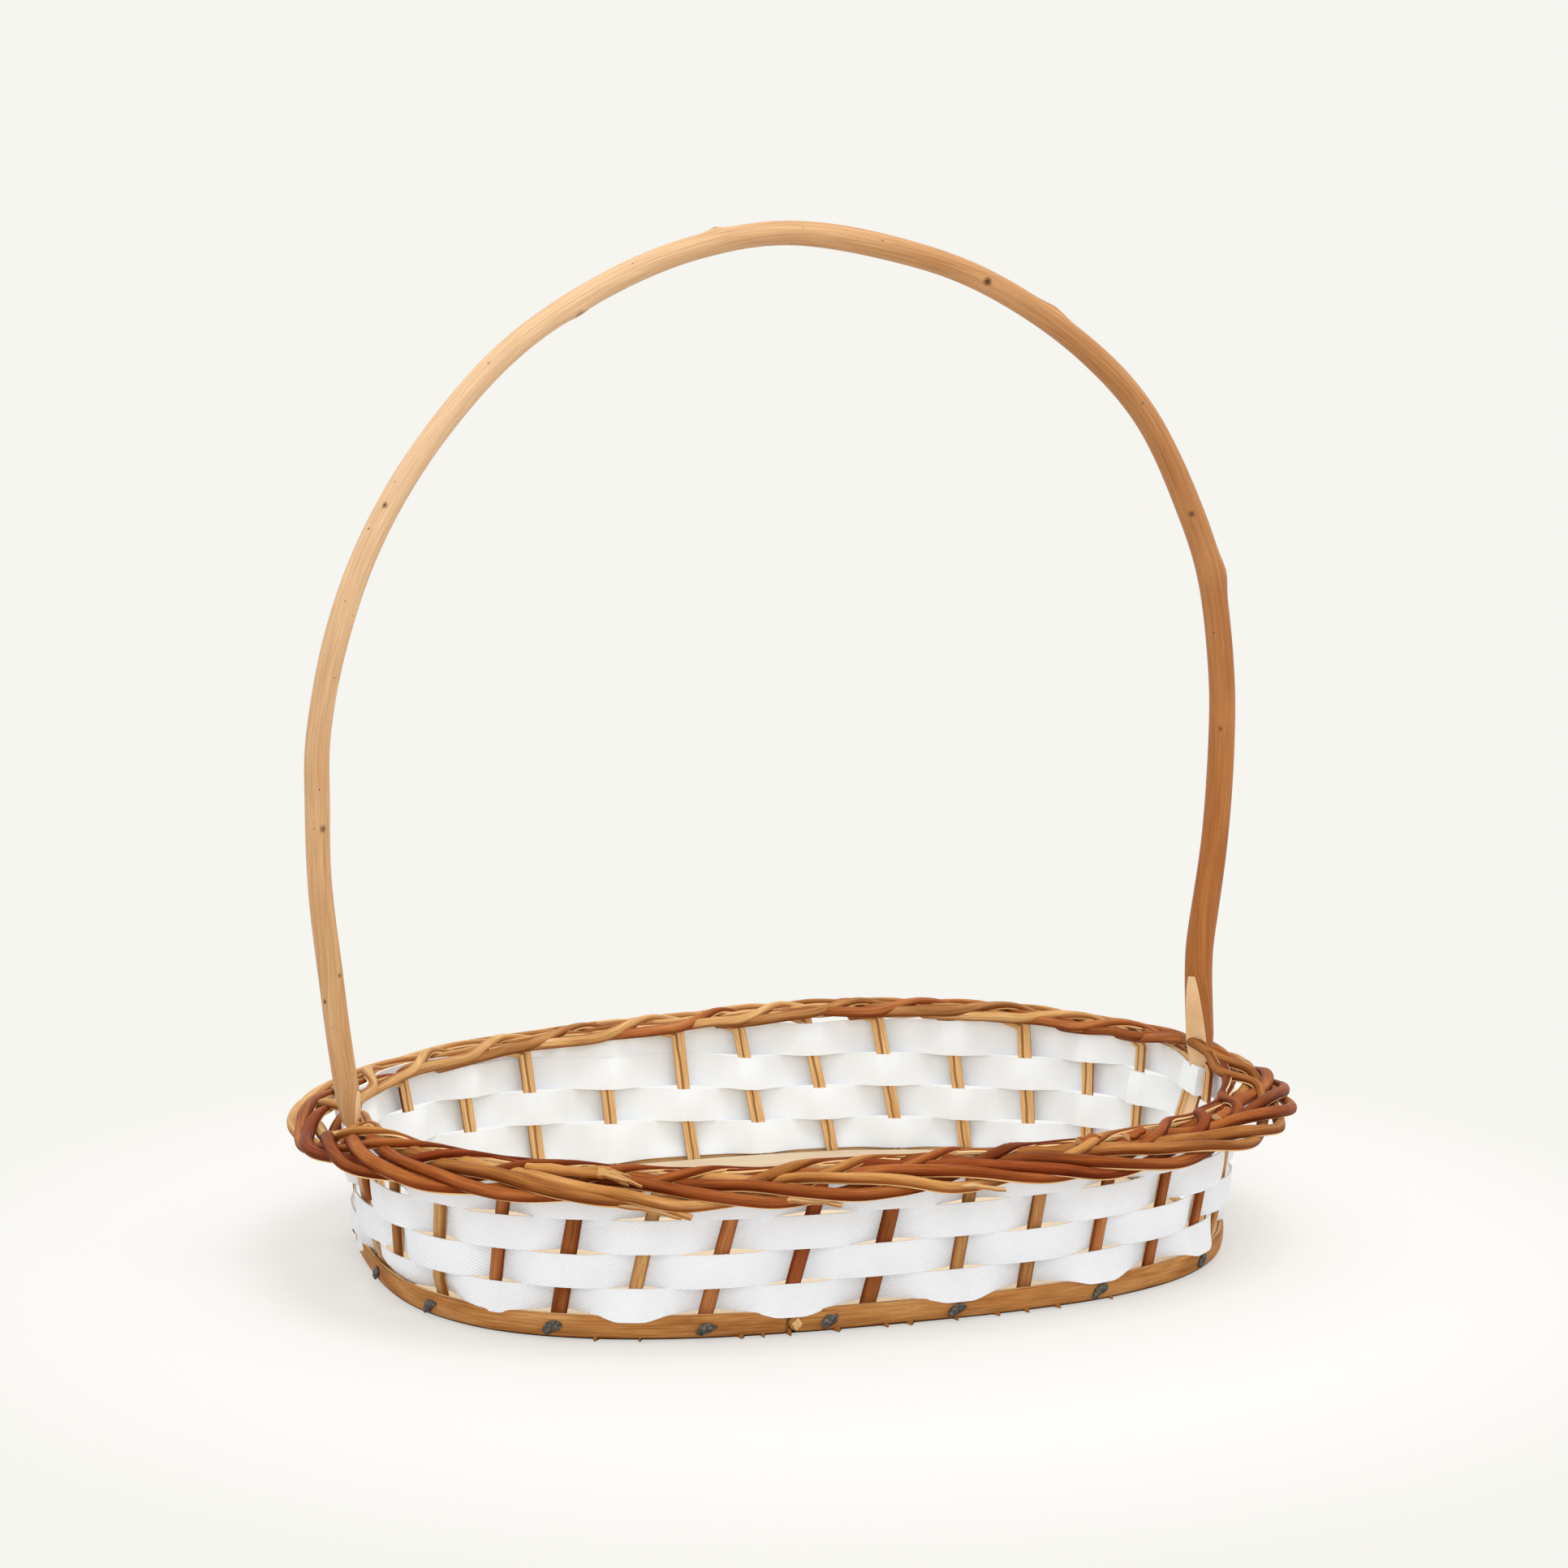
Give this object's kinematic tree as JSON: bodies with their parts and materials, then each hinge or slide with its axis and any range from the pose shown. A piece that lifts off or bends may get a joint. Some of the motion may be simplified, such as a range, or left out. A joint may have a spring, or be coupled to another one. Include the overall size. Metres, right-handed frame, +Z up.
{
  "type": "oval basket",
  "caption": "Low oval willow basket woven with white cotton tape, with a plaited border and a tall arched rod handle.",
  "frame": {"origin": "on the ground, under the middle of the whole basket", "axes": "+X along the basket's length towards the right end as pictured, +Y across it towards the back, +Z up"},
  "size_m": [0.4162, 0.3172, 0.4202],
  "materials": {
    "board": "plain unvarnished thin board",
    "hoop_willow": "split willow with its bark, satin",
    "willow_bark": "split willow rod, satin bark outside and dull split face inside",
    "handle_willow": "whole willow rod, satin",
    "cotton_tape": "bleached cotton twill tape, matt",
    "nail_iron": "dull grey crushed nail heads"
  },
  "bodies": {
    "root": {"floor_board": "board", "floor_hoop": "hoop_willow", "hoop_nail_00": "nail_iron", "hoop_nail_02": "nail_iron", "hoop_nail_04": "nail_iron", "hoop_nail_06": "nail_iron", "hoop_nail_08": "nail_iron", "hoop_nail_10": "nail_iron", "hoop_nail_12": "nail_iron", "hoop_nail_14": "nail_iron", "hoop_nail_16": "nail_iron", "hoop_nail_18": "nail_iron", "hoop_nail_20": "nail_iron", "hoop_nail_22": "nail_iron", "hoop_nail_24": "nail_iron", "hoop_nail_26": "nail_iron", "hoop_nail_28": "nail_iron", "hoop_nail_30": "nail_iron", "hoop_nail_32": "nail_iron", "tape_row_1": "cotton_tape", "tape_row_2": "cotton_tape", "tape_row_3": "cotton_tape", "tape_row_4": "cotton_tape", "stake_01": "willow_bark", "stake_02": "willow_bark", "stake_03": "willow_bark", "stake_04": "willow_bark", "stake_05": "willow_bark", "stake_06": "willow_bark", "stake_07": "willow_bark", "stake_08": "willow_bark", "stake_09": "willow_bark", "stake_10": "willow_bark", "stake_11": "willow_bark", "stake_12": "willow_bark", "stake_13": "willow_bark", "stake_14": "willow_bark", "stake_15": "willow_bark", "stake_16": "willow_bark", "stake_18": "willow_bark", "stake_19": "willow_bark", "stake_20": "willow_bark", "stake_21": "willow_bark", "stake_22": "willow_bark", "stake_23": "willow_bark", "stake_24": "willow_bark", "stake_25": "willow_bark", "stake_26": "willow_bark", "stake_27": "willow_bark", "stake_28": "willow_bark", "stake_29": "willow_bark", "stake_30": "willow_bark", "stake_31": "willow_bark", "stake_32": "willow_bark", "bye_rod_left": "willow_bark", "bye_rod_right": "willow_bark", "handle": "handle_willow"}
  },
  "joints": []
}
